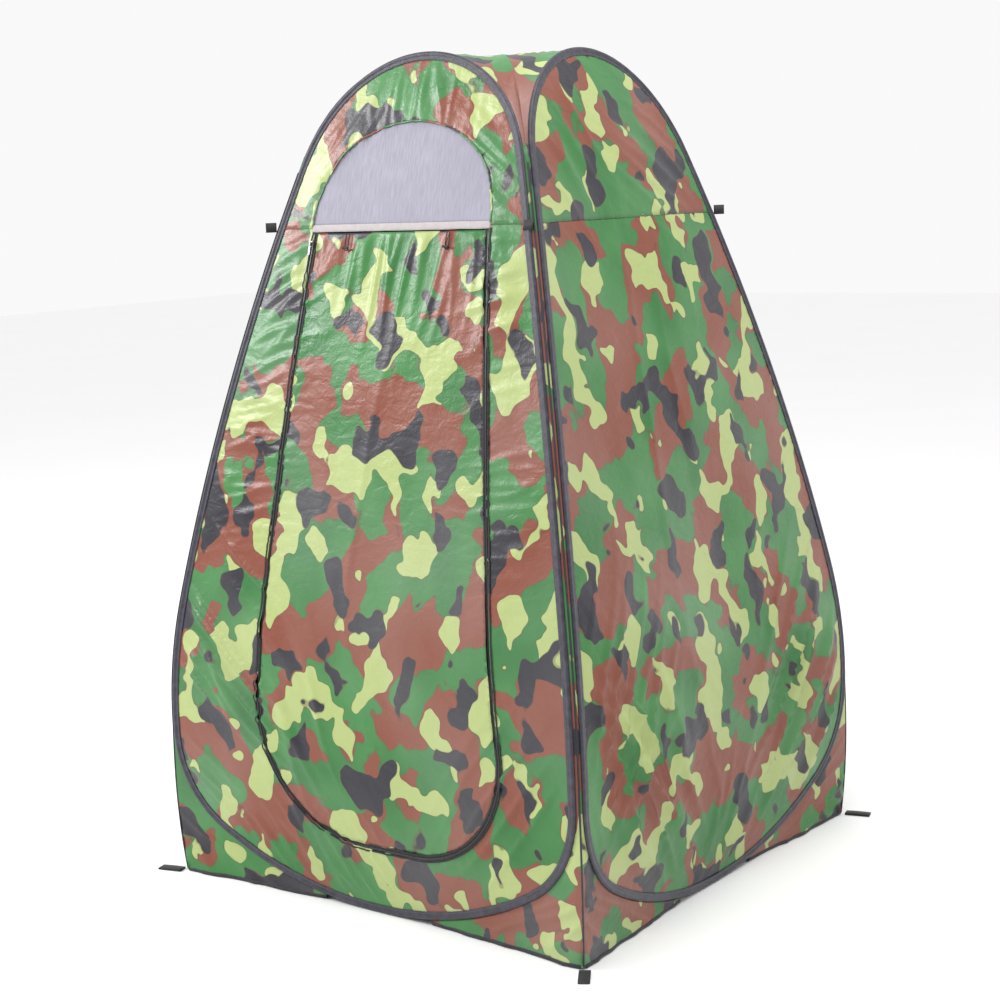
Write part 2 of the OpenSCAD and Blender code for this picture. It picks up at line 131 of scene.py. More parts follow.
def hoop_outline(inset, step):
    """The hoop's outline, inset inside its outer edge, from the bottom round by the right."""
    count = round((TOP_JOIN_Z - CORNER_Z) / step)
    heights = [CORNER_Z + (TOP_JOIN_Z - CORNER_Z) * i / count for i in range(1, count)]
    half = arc(0, REST_Z + BOTTOM_R, BOTTOM_R, 0, BOTTOM_ANGLE, step, inset)
    half += arc(CORNER_X, CORNER_Z, CORNER_R, BOTTOM_ANGLE, 0.5 * pi, step, inset)[1:]
    half += [(half_at(z) - CORNER_GAP - inset, z) for z in heights]
    half += arc(0, TOP_CENTRE_Z, TOP_R, 0.5 * pi + TOP_LEAN, pi, step, inset)
    return half + [(-x, z) for x, z in half[-2:0:-1]]


def hoop_half(z):
    """The hoop's half-width at height z."""
    low = z - REST_Z
    if low < BOTTOM_R * (1 - cos(BOTTOM_ANGLE)):
        return sqrt(max(0.0, low * (2 * BOTTOM_R - low)))
    if z < CORNER_Z:
        return CORNER_X + sqrt(CORNER_R ** 2 - (CORNER_Z - z) ** 2)
    if z < TOP_JOIN_Z:
        return half_at(z) - CORNER_GAP
    return sqrt(max(0.0, TOP_R ** 2 - (z - TOP_CENTRE_Z) ** 2))


def door_line(out, step):
    """The zip's U line, out metres outside it, from its left leg's top to its right one's."""
    left = (0.0, DOOR_BOTTOM + DOOR_LEFT_R)
    right = (DOOR_SHIFT, DOOR_BOTTOM + DOOR_RIGHT_R)
    line = [(-DOOR_LEFT_TOP - out, SILL_BOTTOM)]
    line += arc(*left, DOOR_LEFT_R + out, -0.5 * pi, 0, step)
    line += arc(*right, DOOR_RIGHT_R + out, 0, 0.5 * pi, step)
    line += [(DOOR_RIGHT_TOP + out, SILL_BOTTOM)]
    return resampled(line, step)


def window_line(inset, step):
    """The half-round window's curve, from its right end over to its left one."""
    half, high, count = WINDOW_HALF - inset, WINDOW_H - inset, round(0.7 / step)
    angles = [pi * i / count for i in range(count + 1)]
    return [(half * cos(a), SILL_TOP + inset + (high - inset) * sin(a) ** 0.92) for a in angles]


def resampled(line, step):
    """The same line with its points evenly spaced, about step apart."""
    points = np.array(line)
    along = np.concatenate(([0], np.cumsum(np.hypot(*np.diff(points, axis=0).T))))
    wanted = np.linspace(0, along[-1], max(2, round(along[-1] / step)) + 1)
    return list(zip(np.interp(wanted, along, points[:, 0]), np.interp(wanted, along, points[:, 1])))


# ---- Meshes ----

def new_piece(name, points, faces, material, body, uvs=None, smooth=True):
    """A mesh object that rides a body, or nothing yet if body is None. uvs has one pair per point."""
    mesh = bpy.data.meshes.new(name)
    mesh.from_pydata([tuple(p) for p in points], [], faces)
    for one in material if isinstance(material, (list, tuple)) else [material]:
        mesh.materials.append(one)
    if smooth:
        mesh.shade_smooth()
    if uvs is not None:
        layer = mesh.uv_layers.new(name="cut")
        corners = np.array([uvs[loop.vertex_index] for loop in mesh.loops])
        layer.data.foreach_set("uv", corners.astype(np.float32).ravel())
    piece = bpy.data.objects.new(name, mesh)
    bpy.context.scene.collection.objects.link(piece)
    if body:
        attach(piece, body)
    return piece


def stand_in(node):
    """Hides a CAD node, in whose place a piece made here is seen."""
    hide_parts(node)


def inside(points, loop):
    """Which of the points lie inside a closed loop."""
    x, z = points[:, 0][:, None], points[:, 1][:, None]
    a = np.array(loop)
    b = np.roll(a, -1, axis=0)
    crosses = (a[:, 1] > z) != (b[:, 1] > z)
    rise = np.where(b[:, 1] == a[:, 1], 1e-12, b[:, 1] - a[:, 1])
    at = a[:, 0] + (z - a[:, 1]) * (b[:, 0] - a[:, 0]) / rise
    return (np.sum(crosses & (x < at), axis=1) % 2) == 1


def filled(outer, spacing):
    """Points and triangles that fill a flat outline, with its boundary line kept."""
    outline = np.array(outer)
    low, high = outline.min(axis=0), outline.max(axis=0)
    rows = np.arange(low[1] + 0.5 * spacing, high[1], spacing * 0.87)
    columns = np.arange(low[0] + 0.5 * spacing, high[0], spacing)
    grid = np.array([(x + 0.5 * spacing * (i % 2), z) for i, z in enumerate(rows) for x in columns])
    grid = grid[inside(grid, outer)]
    border = [tuple(p) for p in outer]
    tree = kd_of(border)
    far = [tree.find((x, z, 0))[2] > 0.6 * spacing for x, z in grid]
    grid = grid[np.array(far)]
    count = len(outer)
    edges = [(i, (i + 1) % count) for i in range(count)]
    points = [Vector(p) for p in border] + [Vector(p) for p in grid]
    flat, _, faces, *_ = delaunay_2d_cdt(points, edges, [], 0, 1e-7)
    flat = np.array([tuple(p) for p in flat])
    faces = np.array([tuple(f) for f in faces])
    middle = flat[faces].mean(axis=1)
    return flat, faces[inside(middle, outer)]


def kd_of(points):
    tree = kdtree.KDTree(len(points))
    for i, p in enumerate(points):
        tree.insert((p[0], p[1], 0), i)
    tree.balance()
    return tree


# ---- Folds and puckers in the cloth ----

def ripple(x, y, seed):
    """Smooth noise, about -1 to 1, the same on every run."""
    return noise.noise(Vector((x, y, seed)))


def crease(across, along, wave, length, seed):
    """Narrow soft ridges, about wave apart and length long, from 0 to 1."""
    n = ripple(across / wave, along / length, seed)
    return max(0.0, 1 - 3.0 * abs(n)) ** 1.7


class Folds:
    """A patch of parallel folds: its middle, half-size and direction, and each fold's measures."""

    def __init__(self, x, z, wide, high, angle, wave, length, height):
        self.middle, self.size = (x, z), (wide, high)
        self.cos, self.sin = cos(radians(angle)), sin(radians(angle))
        self.wave, self.length, self.height = wave, length, height

    def at(self, x, z, seed):
        dx, dz = x - self.middle[0], z - self.middle[1]
        near = exp(-((dx / self.size[0]) ** 2 + (dz / self.size[1]) ** 2))
        if near < 0.02:
            return 0.0
        bend = 0.02 * ripple(x * 4, z * 4, seed + 7.7)
        along, across = dx * self.cos + dz * self.sin, -dx * self.sin + dz * self.cos + bend
        return self.height * near * crease(across, along, self.wave, self.length, seed)


class Relief:
    """How far the cloth of one side stands out from the side's smooth surface."""

    SLACK = 1.7  # scales the height of every patch's folds

    def __init__(self, seed, patches, lines=()):
        self.seed, self.patches = seed, patches
        self.hoop = kd_of(hoop_outline(0.012, STEP))
        self.lines = [(kd_of(line), depth, height) for line, depth, height in lines]

    def pucker(self, tree, x, z, depth, height, seed):
        """Short gathers square to a sewn line, which die away from it."""
        _, index, gap = tree.find((x, z, 0))
        if gap > 3 * depth:
            return 0.0
        wavy = ripple(index * 0.45, gap * 9, seed)
        wavy += 0.5 * ripple(index * 0.9, gap * 16, seed)
        return height * wavy * exp(-gap / depth)

    def at(self, x, z):
        seed = self.seed
        gap = self.hoop.find((x, z, 0))[2]
        free = min(1.0, gap / 0.06)
        out = 0.006 * free * ripple(x * 3.1, z * 2.2, seed)
        out += 0.0018 * free * ripple(x * 11, z * 8, seed + 3)
        for i, patch in enumerate(self.patches):
            out += self.SLACK * free * patch.at(x, z, seed + 1.3 * i)
        out += self.pucker(self.hoop, x, z, 0.03, 0.0016, seed + 20)
        for i, (tree, depth, height) in enumerate(self.lines):
            out += self.pucker(tree, x, z, depth, height, seed + 30 + i)
        return out * min(1.0, max(0.0, gap - 0.002) / 0.012)


def seam_line(half):
    return [(x, SEAM_Z) for x in np.arange(-half, half, STEP)]


PLAIN_SEAM = [(seam_line(0.36), 0.022, 0.0016)]
RELIEF = {
    "front": Relief(1.0, [
        Folds(-0.33, 1.36, 0.11, 0.17, 28, 0.036, 0.30, 0.0050),
        Folds(-0.36, 1.02, 0.12, 0.20, 8, 0.026, 0.16, 0.0032),
        Folds(-0.43, 0.50, 0.18, 0.26, -38, 0.045, 0.55, 0.0100),
        Folds(-0.16, 0.10, 0.24, 0.11, -52, 0.042, 0.35, 0.0055),
        Folds(0.31, 1.38, 0.09, 0.16, 4, 0.055, 0.30, 0.0045),
        Folds(0.37, 0.95, 0.10, 0.22, 6, 0.030, 0.16, 0.0022),
        Folds(0.42, 0.30, 0.16, 0.20, 48, 0.060, 0.40, 0.0040),
        Folds(0.00, 1.44, 0.25, 0.12, 86, 0.042, 0.32, 0.0048),
        Folds(-0.20, 0.42, 0.14, 0.22, -66, 0.070, 0.60, 0.0045),
        Folds(0.10, 0.85, 0.26, 0.40, 84, 0.110, 0.80, 0.0022),
        Folds(-0.20, 1.72, 0.12, 0.12, 52, 0.030, 0.22, 0.0042),
        Folds(0.02, 1.82, 0.16, 0.08, 92, 0.030, 0.22, 0.0045),
        Folds(0.25, 1.66, 0.10, 0.14, -30, 0.034, 0.26, 0.0042),
    ], [
        (door_line(0.006, STEP), 0.030, 0.0017),
        (window_line(0.0, STEP), 0.034, 0.0026),
        (seam_line(0.36), 0.022, 0.0014),
    ]),
    "right": Relief(5.0, [
        Folds(0.16, 1.64, 0.14, 0.14, -34, 0.050, 0.45, 0.0040),
        Folds(-0.18, 1.66, 0.12, 0.16, -58, 0.060, 0.45, 0.0040),
        Folds(0.38, 0.38, 0.20, 0.26, 50, 0.070, 0.70, 0.0150),
        Folds(-0.36, 0.46, 0.16, 0.24, 64, 0.055, 0.36, 0.0065),
        Folds(-0.34, 0.34, 0.20, 0.24, -58, 0.060, 0.40, 0.0095),
        Folds(0.00, 0.95, 0.30, 0.45, 86, 0.100, 0.90, 0.0030),
        Folds(0.10, 0.16, 0.26, 0.10, 62, 0.055, 0.35, 0.0050),
    ], PLAIN_SEAM),
    "back": Relief(9.0, [
        Folds(-0.40, 0.42, 0.18, 0.24, -44, 0.070, 0.60, 0.0090),
        Folds(0.38, 0.38, 0.18, 0.24, 56, 0.065, 0.55, 0.0080),
        Folds(0.10, 1.62, 0.22, 0.16, -40, 0.055, 0.40, 0.0040),
        Folds(0.00, 1.00, 0.30, 0.45, 88, 0.110, 0.90, 0.0030),
    ], PLAIN_SEAM),
    "left": Relief(13.0, [
        Folds(0.40, 0.44, 0.18, 0.24, 42, 0.070, 0.60, 0.0085),
        Folds(-0.38, 0.36, 0.18, 0.24, -58, 0.060, 0.50, 0.0085),
        Folds(-0.08, 1.63, 0.22, 0.16, 38, 0.050, 0.40, 0.0042),
        Folds(0.02, 1.02, 0.30, 0.45, 92, 0.105, 0.90, 0.0030),
    ], PLAIN_SEAM),
}


# ---- Materials ----

def linear(r, g, b):
    """An sRGB colour in 0..255 as linear RGBA."""
    def one(c):
        c /= 255
        return c / 12.92 if c <= 0.04045 else ((c + 0.055) / 1.055) ** 2.4
    return (one(r), one(g), one(b), 1.0)


class Shader:
    """Builds one material's nodes."""

    def __init__(self, name, roughness, specular=0.5, metallic=0.0, sheen=0.0):
        self.material = bpy.data.materials.new(name)
        self.material.use_nodes = True
        self.tree = self.material.node_tree
        self.shader = self.tree.nodes["Principled BSDF"]
        self.shader.inputs["Roughness"].default_value = roughness
        self.shader.inputs["Specular IOR Level"].default_value = specular
        self.shader.inputs["Metallic"].default_value = metallic
        self.shader.inputs["Sheen Weight"].default_value = sheen

    def node(self, kind, values=None, **settings):
        node = self.tree.nodes.new(kind)
        for key, value in settings.items():
            setattr(node, key, value)
        for key, value in (values or {}).items():
            self.set(node.inputs[key], value)
        return node

    def set(self, socket, value):
        if isinstance(value, bpy.types.NodeSocket):
            self.tree.links.new(value, socket)
        else:
            socket.default_value = value

    def math(self, operation, a, b=0.0, c=0.0):
        return self.node("ShaderNodeMath", {0: a, 1: b, 2: c}, operation=operation).outputs[0]

    def vector(self, operation, a, b=(0, 0, 0)):
        return self.node("ShaderNodeVectorMath", {0: a, 1: b}, operation=operation).outputs[0]

    def scaled(self, source, scale):
        return self.node("ShaderNodeMapping", {"Vector": source, "Scale": scale}).outputs[0]

    def uv(self, scale=(1, 1, 1)):
        """Metres along and across the cut cloth or tape, scaled."""
        return self.scaled(self.node("ShaderNodeUVMap", uv_map="cut").outputs[0], scale)

    def place(self, scale=(1, 1, 1)):
        return self.scaled(self.node("ShaderNodeTexCoord").outputs["Object"], scale)

    def uv_parts(self):
        return self.node("ShaderNodeSeparateXYZ", {0: self.uv()}).outputs

    def wave(self, value, turns):
        """A sine of value, with so many turns per metre."""
        return self.math("SINE", self.math("MULTIPLY", value, 2 * pi * turns))

    def noise(self, vector, scale, detail=2.0, distortion=0.0, output="Fac"):
        values = {"Vector": vector, "Scale": scale, "Detail": detail, "Distortion": distortion}
        return self.node("ShaderNodeTexNoise", values).outputs[output]

    def mix(self, factor, a, b):
        node = self.node("ShaderNodeMix", data_type="RGBA")
        for socket, value in zip([node.inputs[0], node.inputs[6], node.inputs[7]], [factor, a, b]):
            self.set(socket, value)
        return node.outputs[2]

    def ramp(self, value, low, high):
        """0 below low and 1 above high, straight between."""
        values = {"Value": value, "From Min": low, "From Max": high}
        return self.node("ShaderNodeMapRange", values).outputs[0]

    def bumped(self, height, strength, distance, under=None):
        values = {"Height": height, "Strength": strength, "Distance": distance}
        if under is not None:
            values["Normal"] = under
        return self.node("ShaderNodeBump", values).outputs[0]

    def finish(self, color=None, normal=None, roughness=None):
        for name, value in (("Base Color", color), ("Normal", normal), ("Roughness", roughness)):
            if value is not None:
                self.set(self.shader.inputs[name], value)
        return self.material


GREEN, GREEN_DEEP = linear(58, 122, 60), linear(40, 106, 47)
BROWN, PALE, NAVY = linear(124, 63, 43), linear(163, 177, 110), linear(32, 30, 40)


def blotches(s, where, shift, scale, level):
    """How far inside a blotch a place is, in noise units: limbed shapes, a little taller than wide."""
    vector = s.scaled(s.vector("ADD", where, shift), (1, 0.75, 1))
    return s.math("SUBTRACT", s.noise(vector, scale, 0.6), level)


def camouflage(s):
    """The printed camouflage: green, then brown, pale and dark blotches over it, each finely outlined."""
    cut = s.uv()
    stir = s.noise(s.vector("ADD", cut, (3.3, 8.1, 0)), 15.0, 1.0, 0.0, "Color")
    stir = s.vector("SUBTRACT", stir, (0.5, 0.5, 0.5))
    stir = s.node("ShaderNodeVectorMath", {0: stir, "Scale": 0.085}, operation="SCALE").outputs[0]
    where = s.vector("ADD", cut, stir)
    ink = s.mix(s.ramp(s.noise(cut, 5.0, 2.0), 0.35, 0.65), GREEN, GREEN_DEEP)
    rim_color = s.mix(0.5, BROWN, NAVY)
    layers = [
        (BROWN, (3.1, 1.7, 0), 8.4, 0.515),
        (PALE, (9.4, 5.2, 0), 10.0, 0.590),
        (NAVY, (17.3, 8.8, 0), 10.8, 0.615),
    ]
    for color, shift, scale, level in layers:
        depth = blotches(s, where, shift, scale, level)
        rim = s.math("MULTIPLY", s.ramp(depth, -0.010, -0.007), 0.45)
        ink = s.mix(rim, ink, rim_color)
        ink = s.mix(s.ramp(depth, -0.002, 0.002), ink, color)
    return ink


def cloth_normal(s, gloss_wrinkles=1.0):
    """Fine wrinkles and the taffeta's threads."""
    wide = s.noise(s.uv((1, 1.6, 1)), 22.0, 3.0, 0.6)
    fine = s.noise(s.uv((1.5, 1, 1)), 75.0, 3.0, 1.2)
    threads = s.noise(s.uv((1, 0.12, 1)), 1400.0, 1.0)
    threads_across = s.noise(s.uv((0.12, 1, 1)), 1400.0, 1.0)
    normal = s.bumped(wide, 0.30 * gloss_wrinkles, 0.008)
    normal = s.bumped(fine, 0.25 * gloss_wrinkles, 0.0022, normal)
    return s.bumped(s.math("ADD", threads, threads_across), 0.10, 0.0003, normal)


def camo_cloth():
    s = Shader("camo_cloth", 0.40, 0.45)
    cut = s.uv()
    ink = camouflage(s)
    faded = s.mix(s.ramp(s.noise(cut, 2.2, 2.0), 0.4, 0.8), ink, s.mix(0.08, ink, (1, 1, 1, 1)))
    slubs = s.ramp(s.noise(s.uv((1, 0.05, 1)), 900.0, 1.0), 0.3, 0.7)
    wear_and_sheen = s.mix(s.math("MULTIPLY", slubs, 0.10), faded, s.mix(0.5, faded, (0.02, 0.03, 0.02, 1)))
    rough = s.math("MULTIPLY_ADD", s.noise(cut, 14.0, 3.0), 0.20, 0.28)
    return s.finish(wear_and_sheen, cloth_normal(s), rough)


def coated_back():
    """The cloth's inside: a dull grey coat, through which the print just shows."""
    s = Shader("coated_back", 0.5, 0.4)
    ink = s.mix(0.78, camouflage(s), linear(128, 128, 122))
    return s.finish(ink, cloth_normal(s, 0.7))


def woven(name, base, sheen_light, roughness, ribs=(420.0, 420.0), sheen=0.2, stitches=None):
    """A woven tape: ribs along and across it, painted sheen in patches, painted highlights on the weave's
    crests, and stitches at set places across its width.
    """
    s = Shader(name, roughness, 0.5, sheen=sheen)
    parts = s.uv_parts()
    weave = s.math("MULTIPLY", s.wave(parts[0], ribs[0]), s.wave(parts[1], ribs[1]))
    # painted sheen: random patches of the tape are mixed toward its lighter sheen colour
    wear_and_sheen = s.ramp(s.noise(s.uv(), 60.0, 3.0), 0.35, 0.75)
    color = s.mix(s.math("MULTIPLY", wear_and_sheen, 0.55), base, sheen_light)
    # painted highlight: the crests of the weave are lightened toward the sheen colour
    color = s.mix(s.ramp(weave, 0.2, 1.0), color, s.mix(0.35, color, sheen_light))
    normal = s.bumped(s.noise(s.uv(), 45.0, 3.0), 0.35, 0.002)
    normal = s.bumped(weave, 0.35, 0.0004, normal)
    if stitches:
        color, normal = stitched(s, color, normal, stitches)
    rough = s.math("MULTIPLY_ADD", s.noise(s.uv(), 90.0, 2.0), 0.2, roughness - 0.1)
    return s.finish(color, normal, rough)


def stitched(s, color, normal, rows):
    """Rows of short thread stitches, at the given distances across the tape."""
    parts = s.uv_parts()
    dash = s.math("PINGPONG", parts[0], 0.0019)
    total = None
    for row in rows:
        off = s.math("ABSOLUTE", s.math("SUBTRACT", parts[1], row))
        mark = s.math("MULTIPLY", s.ramp(off, 0.00055, 0.0003), s.ramp(dash, 0.0006, 0.0009))
        total = mark if total is None else s.math("MAXIMUM", total, mark)
    return s.mix(total, color, linear(92, 88, 108)), s.bumped(total, 0.8, 0.0006, normal)


def window_net():
    """Light lilac mesh, with uneven vertical threads and painted shade in its holes."""
    s = Shader("window_net", 0.7, 0.3, sheen=0.2)
    parts, per_metre = s.uv_parts(), 1 / 0.0022
    holes = s.math("MULTIPLY", s.wave(parts[0], per_metre), s.wave(parts[1], per_metre))
    holes = s.ramp(holes, 0.1, 0.8)
    streak = s.ramp(s.noise(s.uv((1, 0.10, 1)), 260.0, 3.0), 0.35, 0.7)
    cloud = s.ramp(s.noise(s.uv(), 7.0, 2.0), 0.35, 0.7)
    color = s.mix(streak, linear(146, 144, 158), linear(162, 160, 172))
    color = s.mix(s.math("MULTIPLY", cloud, 0.4), color, linear(138, 136, 151))
    # painted shade: the holes are darkened for the dim inside seen through them
    color = s.mix(s.math("MULTIPLY", holes, 0.30), color, linear(96, 94, 108))
    normal = s.bumped(s.noise(s.uv((1, 0.3, 1)), 30.0, 3.0), 0.25, 0.003)
    return s.finish(color, s.bumped(s.math("MULTIPLY", holes, -1.0), 0.3, 0.0006, normal))


def plain(name, base, roughness, metallic=0.0, grain=300.0):
    """A moulded or metal surface with a fine grain, scuffs and a little unevenness of colour."""
    s = Shader(name, roughness, metallic=metallic)
    where = s.place()
    scuffs = s.ramp(s.noise(s.place((1, 1, 0.25)), 500.0, 4.0), 0.55, 0.8)
    lighter = tuple(min(1.0, 1.6 * c + 0.03) for c in base[:3]) + (1.0,)
    color = s.mix(s.math("MULTIPLY", scuffs, 0.5), base, lighter)
    rough = s.math("MULTIPLY_ADD", s.noise(where, grain, 3.0), 0.25, roughness - 0.12)
    return s.finish(color, s.bumped(s.noise(where, grain, 3.0), 0.2, 0.0004), rough)


CAMO, BACK = camo_cloth(), coated_back()
# Each woven tape's second colour is its painted sheen and highlight colour
SLEEVE = woven("hoop_sleeve_tape", linear(24, 22, 33), linear(72, 68, 88), 0.40,
               (330.0, 330.0), 0.1, (0.0155,))
TAPE = woven("zip_tape_weave", linear(12, 12, 14), linear(34, 34, 39), 0.6, (700.0, 500.0), 0.0)
HEM = woven("hem_tape_weave", linear(18, 17, 23), linear(52, 50, 62), 0.55,
            (420.0, 420.0), 0.05, (0.0045,))
WEBBING = woven("webbing_weave", linear(16, 16, 18), linear(44, 44, 50), 0.6, (260.0, 520.0), 0.05)
BAND = woven("sill_band_weave", linear(168, 161, 162), linear(190, 181, 182), 0.6, (500.0, 500.0), 0.1)
ELASTIC = woven("elastic_braid", linear(14, 14, 16), linear(40, 40, 45), 0.6, (380.0, 300.0), 0.0)
NET = window_net()
COIL = plain("zip_coil_nylon", linear(22, 22, 25), 0.38, grain=900.0)
PLASTIC = plain("toggle_plastic", linear(20, 20, 22), 0.4, grain=700.0)
ENAMEL = plain("zip_enamel", linear(120, 120, 126), 0.35, 0.85, grain=600.0)
STEEL = plain("spring_steel", linear(150, 150, 155), 0.35, 1.0, grain=800.0)


# ---- Cloth panels ----

BOW_SHARE = 1.02  # length of a side's bowed cloth over its height

def cloth_panel(stem, side, outer, print_shift, spacing=0.009, out=0.0, body=None, calm_z=9.0):
    """A flat cut, laid on a side's bowed surface with its folds. The folds die away up to calm_z."""
    flat_points, faces = filled(outer, spacing)
    relief = RELIEF[side]
    points = []
    for x, z in flat_points:
        calm = min(1.0, max(0.0, (calm_z - z) / 0.02))
        points.append(on_side(side, x, z, out + calm * relief.at(x, z)))
    uvs = [(x + print_shift[0], z + print_shift[1]) for x, z in flat_points]
    triangles = [tuple(f) for f in faces]
    piece = new_piece(stem + "_cloth", points, triangles, [CAMO, BACK], body or BODIES[side], uvs)
    thicken(piece, CLOTH_T)
    stand_in(stem + "_panel")
    size = flat_points.max(axis=0) - flat_points.min(axis=0)
    size[1] *= BOW_SHARE


def thicken(piece, thickness):
    """Gives a one-sided skin a back in its second material."""
    modifier = piece.modifiers.new("back", "SOLIDIFY")
    modifier.thickness = thickness
    modifier.offset = -1
    modifier.material_offset = 1
    modifier.use_rim = True


def clipped(low, high):
    """The hoop's opening between two heights, as a closed loop."""
    line = hoop_outline(CLOTH_EDGE, STEP)
    right = [(x, z) for x, z in line if low < z < high and x >= 0]
    half_low = opening_half(low)
    half_high = opening_half(high)
    right.sort(key=lambda p: p[1])
    loop = [(half_low, low)] if half_low else []
    loop += right
    loop += [(half_high, high)] if half_high else []
    left = [(-x, z) for x, z in reversed(loop) if x > 1e-6]
    return loop + left


def opening_half(z):
    """Half the width of the cloth at height z, or 0 above and below it."""
    line = sorted((p for p in hoop_outline(CLOTH_EDGE, 0.002) if p[0] >= 0), key=lambda p: p[1])
    if not line[0][1] < z < line[-1][1]:
        return 0.0
    return float(np.interp(z, [p[1] for p in line], [p[0] for p in line]))


def fine_edge(a, b):
    """Points from a up to but not including b."""
    wide, high = b[0] - a[0], b[1] - a[1]
    count = max(1, round(hypot(wide, high) / STEP))
    return [(a[0] + wide * i / count, a[1] + high * i / count) for i in range(count)]


def make_sides():
    """The plain sides' upper and lower panels. Each takes its own stretch of the print."""
    lap_z = SEAM_Z - SEAM_LAP
    for i, side in enumerate(("right", "back", "left")):
        x, z = 2.3 * i + 1.1, 0.7 * i
        upper = with_straight_edge(clipped(lap_z, ABOVE), lap_z)
        cloth_panel(side + "_upper", side, upper, (x + 0.9, z), out=0.0008)
        lower = with_straight_edge(clipped(BELOW, SEAM_Z), SEAM_Z)
        cloth_panel(side + "_lower", side, lower, (x, z))


def with_straight_edge(loop, edge_z):
    """The loop with points added along its one straight edge, at height edge_z."""
    out = []
    count = len(loop)
    for i, a in enumerate(loop):
        b = loop[(i + 1) % count]
        level = abs(a[1] - edge_z) < 1e-9 and abs(b[1] - edge_z) < 1e-9
        out += fine_edge(a, b) if level else [a]
    return out


def upper_front_outline():
    """Above the seam, round the window."""
    low = SEAM_Z - SEAM_LAP
    half, window_edge = opening_half(low), WINDOW_HALF + 0.002
    left, left_notch = (-half, low), (-window_edge, low)
    right, right_notch = (half, low), (window_edge, low)
    outline = clipped(low, ABOVE)[1:-1] + fine_edge(left, left_notch) + [left_notch]
    return outline + window_line(-0.0005, STEP)[::-1] + fine_edge(right_notch, right) + [right]


def lower_front_outline():
    """Below the seam, round the door."""
    half, door_edge = opening_half(SEAM_Z), WINDOW_HALF + 0.001
    hoop = clipped(BELOW, SEAM_Z)
    split = next(i for i, p in enumerate(hoop) if abs(p[0] - half) < 1e-9 and abs(p[1] - SEAM_Z) < 1e-9)
    right_top = fine_edge((half, SEAM_Z), (door_edge, SEAM_Z)) + [(door_edge, SEAM_Z)]
    left_top = fine_edge((-door_edge, SEAM_Z), (-half, SEAM_Z))
    return hoop[:split] + right_top + door_line(0.0055, STEP)[::-1] + left_top + hoop[split + 1:]


def door_outline(top):
    flap = [(x, min(z, top)) for x, z in door_line(-0.0035, STEP)]
    return flap + fine_edge((flap[-1][0], top), (flap[0][0], top))[1:]


def make_front():
    shift = (7.3, 3.1)
    cloth_panel("front_upper", "front", upper_front_outline(), shift, 0.007, 0.0006)
    cloth_panel("front_lower", "front", lower_front_outline(), shift, 0.007)
    top = SILL_BOTTOM - 0.0025
    cloth_panel("door", "front", door_outline(top), (11.9, 4.4), 0.007, body="door", calm_z=top)


make_sides()
make_front()


# ---- Tapes, sleeves and cords: sections swept along lines ----

def swept(name, rings, material, body, closed=False, across=None):
    """A solid through rings of points. Its UV is metres along it and across its section."""
    sides = len(rings[0])
    points = [p for ring in rings for p in ring]
    middles = [sum(ring, Vector()) / sides for ring in rings]
    along = [0.0]
    for a, b in zip(middles, middles[1:]):
        along.append(along[-1] + (b - a).length)
    across = across or [i * 0.004 for i in range(sides)]
    uvs = [(s, w) for s in along for w in across]
    count = len(rings)
    faces = []
    for i in range(count if closed else count - 1):
        for j in range(sides):
            k, m = (i + 1) % count, (j + 1) % sides
            faces.append((i * sides + j, i * sides + m, k * sides + m, k * sides + j))
    if not closed:
        faces.append(tuple(range(sides - 1, -1, -1)))
        faces.append(tuple((count - 1) * sides + j for j in range(sides)))
    return new_piece(name, points, faces, material, body, uvs)


def normals_of(line):
    """Unit normals of a flat line, to the right of its direction."""
    points = np.array(line)
    way = np.gradient(points, axis=0)
    way /= np.linalg.norm(way, axis=1)[:, None]
    return np.stack([way[:, 1], -way[:, 0]], axis=1)


def ribbon(name, line, section, material, body, relief=None, wobble=0.0):
    """A tape on the front, along a line, with a section of points (distance to the line's right, out)."""
    rings = []
    for i, ((x, z), n) in enumerate(zip(line, normals_of(line))):
        stir = wobble * ripple(i * 0.21, 3.3, 7.1)
        lift = relief.at(x, z) if relief else 0.0
        rings.append([on_front(x + n[0] * (u + stir), z + n[1] * (u + stir), v + lift) for u, v in section])
    return swept(name, rings, material, body, across=[u for u, _ in section])


def flat_section(low, high, bottom, top):
    """A tape's section, rounded at its two edges."""
    r = 0.3 * (top - bottom)
    return [(low, bottom + r), (low + r, bottom), (high - r, bottom), (high, bottom + r),
            (high, top - r), (high - r, top), (low + r, top), (low, top - r)]


# The outer half of a sleeve's section: distance in from the hoop's outer edge, and out from its middle
SLEEVE_HALF = [(0.0, 0.0), (0.0004, 0.0021), (0.0016, 0.0036), (0.0036, 0.0043), (0.0058, 0.0044),
               (0.0080, 0.0040), (0.0098, 0.0031), (0.0114, 0.0024), (0.0150, 0.0022),
               (0.0185, 0.0021), (0.0190, 0.0015)]


def make_sleeves():
    """The dark tape folded over each hoop's wire and sewn to the cloth."""
    section = SLEEVE_HALF + [(u, -v) for u, v in SLEEVE_HALF[:0:-1]]
    lines = [hoop_outline(u, 0.008) for u, _ in section]
    for side, seed in zip(SIDES, (2.0, 6.0, 10.0, 14.0)):
        rings = []
        for i in range(len(lines[0])):
            pull = 0.00035 * ripple(i * 0.8, 0.0, seed)
            ring = []
            for (u, v), line in zip(section, lines):
                loose = 1 + 0.10 * ripple(i * 0.5, u * 300, seed)
                ring.append(on_side(side, *line[i], v * loose + pull * (u > 0.01)))
            rings.append(ring)
        across = [u for u, _ in section]
        sleeve = swept(side + "_sleeve", rings, SLEEVE, BODIES[side], closed=True, across=across)
        stand_in(side + "_hoop_sleeve")


